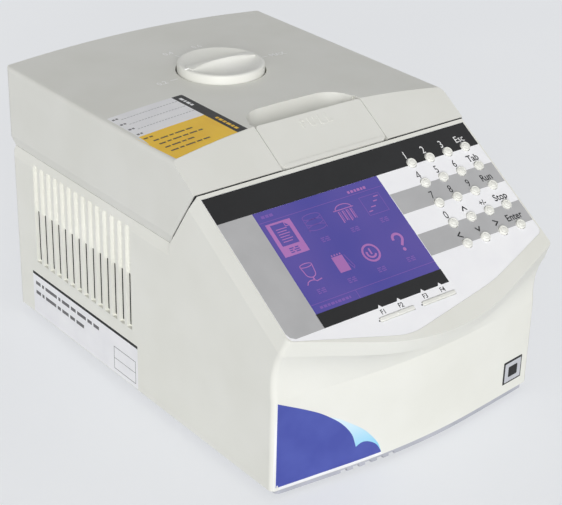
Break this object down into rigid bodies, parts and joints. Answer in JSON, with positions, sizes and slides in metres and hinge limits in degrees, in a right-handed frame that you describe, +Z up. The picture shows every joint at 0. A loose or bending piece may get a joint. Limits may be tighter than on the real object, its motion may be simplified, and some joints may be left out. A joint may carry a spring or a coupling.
{
  "type": "gradient thermal cycler",
  "caption": "Bench gradient thermal cycler: sloping keypad and display panel, vented housing, hinged lid with pull handle, pressure knob and heated plate over a well block.",
  "frame": {"origin": "middle of the bounding box in plan, at the level of the bench under the rubber feet", "axes": "+Z up; +Y from the front panel to the rear; +X to the right seen from the front"},
  "size_m": [0.28, 0.4306, 0.2545],
  "materials": {
    "housing_plastic": "fine textured satin",
    "lid_plastic": "fine textured satin",
    "base_metal": "satin",
    "rear_metal": "satin",
    "foot_rubber": "matte",
    "overlay_film": "satin print",
    "display_glass": "gloss",
    "module_metal": "satin",
    "circuit_board": "satin",
    "key_plastic": "satin",
    "steel": "brushed",
    "aluminium": "satin",
    "ceramic_white": "matte",
    "black_plastic": "matte",
    "brass": "satin",
    "knob_plastic": "satin"
  },
  "bodies": {
    "base": {"main_housing": "housing_plastic", "base_plate": "base_metal", "rear_panel": "rear_metal", "rubber_feet": "foot_rubber", "panel_overlay": "overlay_film", "lcd_window": "display_glass", "lcd_module": "black_plastic", "keypad_board": "circuit_board", "block_frame": "black_plastic", "sample_block": "aluminium", "peltier_modules": "ceramic_white", "heat_sink": "aluminium", "fan_frames": "black_plastic", "power_supply": "aluminium", "main_board": "circuit_board", "power_inlet": "black_plastic", "switch_frame": "black_plastic", "serial_port": "steel", "hinge_brackets": "steel", "hinge_pins": "steel", "latch_keeper": "steel", "housing_screws": "steel"},
    "lid": {"lid_shell": "lid_plastic", "lid_inner_cover": "aluminium", "lid_hinge_arms": "steel", "guide_posts": "steel", "knob_bush": "brass", "latch_pin": "steel"},
    "latch": {"pull_handle": "lid_plastic", "latch_hooks": "steel"},
    "knob": {"pressure_knob": "knob_plastic", "lead_screw": "steel"},
    "hot_plate": {"heated_plate": "aluminium", "plate_carrier": "aluminium"},
    "fan_left": {"fan_rotor_left": "black_plastic"},
    "fan_right": {"fan_rotor_right": "black_plastic"},
    "switch": {"power_switch": "black_plastic"},
    "rocker_f1_f2": {"key_f1_f2": "key_plastic"},
    "rocker_f3_f4": {"key_f3_f4": "key_plastic"},
    "button_1": {"key_1": "key_plastic"},
    "button_2": {"key_2": "key_plastic"},
    "button_3": {"key_3": "key_plastic"},
    "button_esc": {"key_esc": "key_plastic"},
    "button_4": {"key_4": "key_plastic"},
    "button_5": {"key_5": "key_plastic"},
    "button_6": {"key_6": "key_plastic"},
    "button_tab": {"key_tab": "key_plastic"},
    "button_7": {"key_7": "key_plastic"},
    "button_8": {"key_8": "key_plastic"},
    "button_9": {"key_9": "key_plastic"},
    "button_run": {"key_run": "key_plastic"},
    "button_0": {"key_0": "key_plastic"},
    "button_up": {"key_up": "key_plastic"},
    "button_sign": {"key_sign": "key_plastic"},
    "button_stop": {"key_stop": "key_plastic"},
    "button_left": {"key_left": "key_plastic"},
    "button_down": {"key_down": "key_plastic"},
    "button_right": {"key_right": "key_plastic"},
    "button_enter": {"key_enter": "key_plastic"}
  },
  "joints": [
    {"name": "lid_hinge", "type": "hinge", "parent": "base", "child": "lid", "pos_m": [0, 0.211, 0.163], "axis": [-1, 0, 0], "range_deg": [0, 75]},
    {"name": "pull_release", "type": "hinge", "parent": "lid", "child": "latch", "pos_m": [0, -0.05786, 0.22187], "axis": [1, 0, 0], "range_deg": [0, 6.5], "stiffness_Nm_per_rad": 0.6, "springref_deg": -8.59},
    {"name": "knob_turn", "type": "hinge", "parent": "lid", "child": "knob", "pos_m": [0, 0.0873, 0.2392], "axis": [0, 0, -1], "range_deg": [0, 180]},
    {"name": "plate_press", "type": "slide", "parent": "lid", "child": "hot_plate", "axis": [0, 0, -1], "range_m": [0, 0.01]},
    {"name": "fan_left_spin", "type": "hinge", "parent": "base", "child": "fan_left", "pos_m": [-0.0415, 0.0873, 0.07], "axis": [0, 0, 1], "continuous": true},
    {"name": "fan_right_spin", "type": "hinge", "parent": "base", "child": "fan_right", "pos_m": [0.0415, 0.0873, 0.07], "axis": [0, 0, 1], "continuous": true},
    {"name": "power_rocker", "type": "hinge", "parent": "base", "child": "switch", "pos_m": [0.03, 0.2095, 0.06], "axis": [1, 0, 0], "range_deg": [-7, 7]},
    {"name": "f1_f2_rock", "type": "hinge", "parent": "base", "child": "rocker_f1_f2", "pos_m": [-0.0387, -0.18998, 0.13817], "axis": [0, 0.8409, 0.5411], "range_deg": [-2.5, 2.5], "stiffness_Nm_per_rad": 0.05},
    {"name": "f3_f4_rock", "type": "hinge", "parent": "base", "child": "rocker_f3_f4", "pos_m": [0.0045, -0.18998, 0.13817], "axis": [0, 0.8409, 0.5411], "range_deg": [-2.5, 2.5], "stiffness_Nm_per_rad": 0.05},
    {"name": "1_press", "type": "slide", "parent": "base", "child": "button_1", "axis": [0, 0.5411, -0.8409], "range_m": [0, 0.0006], "stiffness_N_per_m": 800, "springref_m": -0.0005},
    {"name": "2_press", "type": "slide", "parent": "base", "child": "button_2", "axis": [0, 0.5411, -0.8409], "range_m": [0, 0.0006], "stiffness_N_per_m": 800, "springref_m": -0.0005},
    {"name": "3_press", "type": "slide", "parent": "base", "child": "button_3", "axis": [0, 0.5411, -0.8409], "range_m": [0, 0.0006], "stiffness_N_per_m": 800, "springref_m": -0.0005},
    {"name": "esc_press", "type": "slide", "parent": "base", "child": "button_esc", "axis": [0, 0.5411, -0.8409], "range_m": [0, 0.0006], "stiffness_N_per_m": 800, "springref_m": -0.0005},
    {"name": "4_press", "type": "slide", "parent": "base", "child": "button_4", "axis": [0, 0.5411, -0.8409], "range_m": [0, 0.0006], "stiffness_N_per_m": 800, "springref_m": -0.0005},
    {"name": "5_press", "type": "slide", "parent": "base", "child": "button_5", "axis": [0, 0.5411, -0.8409], "range_m": [0, 0.0006], "stiffness_N_per_m": 800, "springref_m": -0.0005},
    {"name": "6_press", "type": "slide", "parent": "base", "child": "button_6", "axis": [0, 0.5411, -0.8409], "range_m": [0, 0.0006], "stiffness_N_per_m": 800, "springref_m": -0.0005},
    {"name": "tab_press", "type": "slide", "parent": "base", "child": "button_tab", "axis": [0, 0.5411, -0.8409], "range_m": [0, 0.0006], "stiffness_N_per_m": 800, "springref_m": -0.0005},
    {"name": "7_press", "type": "slide", "parent": "base", "child": "button_7", "axis": [0, 0.5411, -0.8409], "range_m": [0, 0.0006], "stiffness_N_per_m": 800, "springref_m": -0.0005},
    {"name": "8_press", "type": "slide", "parent": "base", "child": "button_8", "axis": [0, 0.5411, -0.8409], "range_m": [0, 0.0006], "stiffness_N_per_m": 800, "springref_m": -0.0005},
    {"name": "9_press", "type": "slide", "parent": "base", "child": "button_9", "axis": [0, 0.5411, -0.8409], "range_m": [0, 0.0006], "stiffness_N_per_m": 800, "springref_m": -0.0005},
    {"name": "run_press", "type": "slide", "parent": "base", "child": "button_run", "axis": [0, 0.5411, -0.8409], "range_m": [0, 0.0006], "stiffness_N_per_m": 800, "springref_m": -0.0005},
    {"name": "0_press", "type": "slide", "parent": "base", "child": "button_0", "axis": [0, 0.5411, -0.8409], "range_m": [0, 0.0006], "stiffness_N_per_m": 800, "springref_m": -0.0005},
    {"name": "up_press", "type": "slide", "parent": "base", "child": "button_up", "axis": [0, 0.5411, -0.8409], "range_m": [0, 0.0006], "stiffness_N_per_m": 800, "springref_m": -0.0005},
    {"name": "sign_press", "type": "slide", "parent": "base", "child": "button_sign", "axis": [0, 0.5411, -0.8409], "range_m": [0, 0.0006], "stiffness_N_per_m": 800, "springref_m": -0.0005},
    {"name": "stop_press", "type": "slide", "parent": "base", "child": "button_stop", "axis": [0, 0.5411, -0.8409], "range_m": [0, 0.0006], "stiffness_N_per_m": 800, "springref_m": -0.0005},
    {"name": "left_press", "type": "slide", "parent": "base", "child": "button_left", "axis": [0, 0.5411, -0.8409], "range_m": [0, 0.0006], "stiffness_N_per_m": 800, "springref_m": -0.0005},
    {"name": "down_press", "type": "slide", "parent": "base", "child": "button_down", "axis": [0, 0.5411, -0.8409], "range_m": [0, 0.0006], "stiffness_N_per_m": 800, "springref_m": -0.0005},
    {"name": "right_press", "type": "slide", "parent": "base", "child": "button_right", "axis": [0, 0.5411, -0.8409], "range_m": [0, 0.0006], "stiffness_N_per_m": 800, "springref_m": -0.0005},
    {"name": "enter_press", "type": "slide", "parent": "base", "child": "button_enter", "axis": [0, 0.5411, -0.8409], "range_m": [0, 0.0006], "stiffness_N_per_m": 800, "springref_m": -0.0005}
  ],
  "couplings": [
    {"joint": "knob_turn", "follows": "plate_press", "rad_per_m": 314.15}
  ]
}
